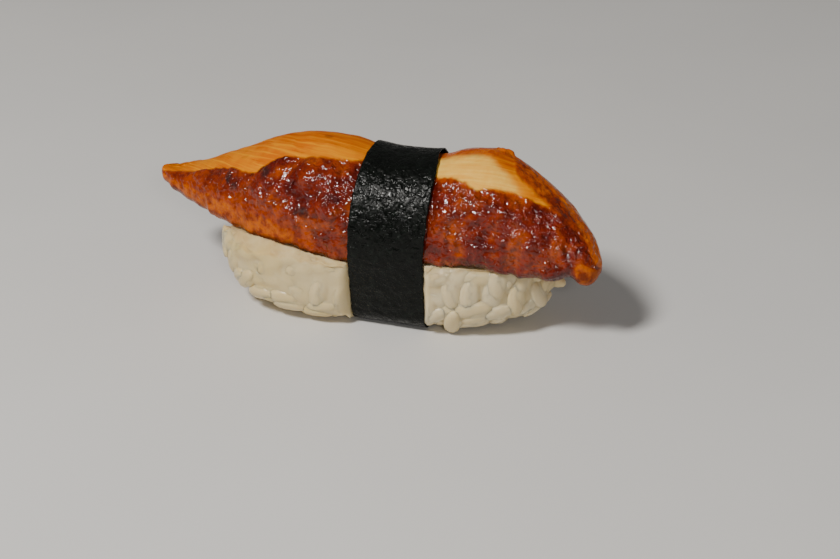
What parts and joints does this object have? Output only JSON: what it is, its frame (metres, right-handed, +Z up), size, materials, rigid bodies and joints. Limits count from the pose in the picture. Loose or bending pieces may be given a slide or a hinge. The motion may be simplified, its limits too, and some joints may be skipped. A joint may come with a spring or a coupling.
{
  "type": "eel nigiri",
  "caption": "Eel nigiri: a glazed grilled eel fillet arched over a block of pressed rice, with a band of nori wrapped round both.",
  "frame": {"origin": "bottom centre of the whole piece, on the surface that it rests on", "axes": "+X along the eel fillet towards its blunt drooping end, +Y towards the back, +Z up"},
  "size_m": [0.0834, 0.0262, 0.0303],
  "materials": {
    "rice_grain": "moist translucent cooked rice, warm white",
    "eel_glaze": "sticky red-brown soy glaze over grilled eel, with a pale golden cut face along the crest",
    "nori_sheet": "crinkled black-green dried seaweed with a fine sparkle"
  },
  "bodies": {
    "root": {"rice": "rice_grain", "eel": "eel_glaze", "nori": "nori_sheet"}
  },
  "joints": []
}
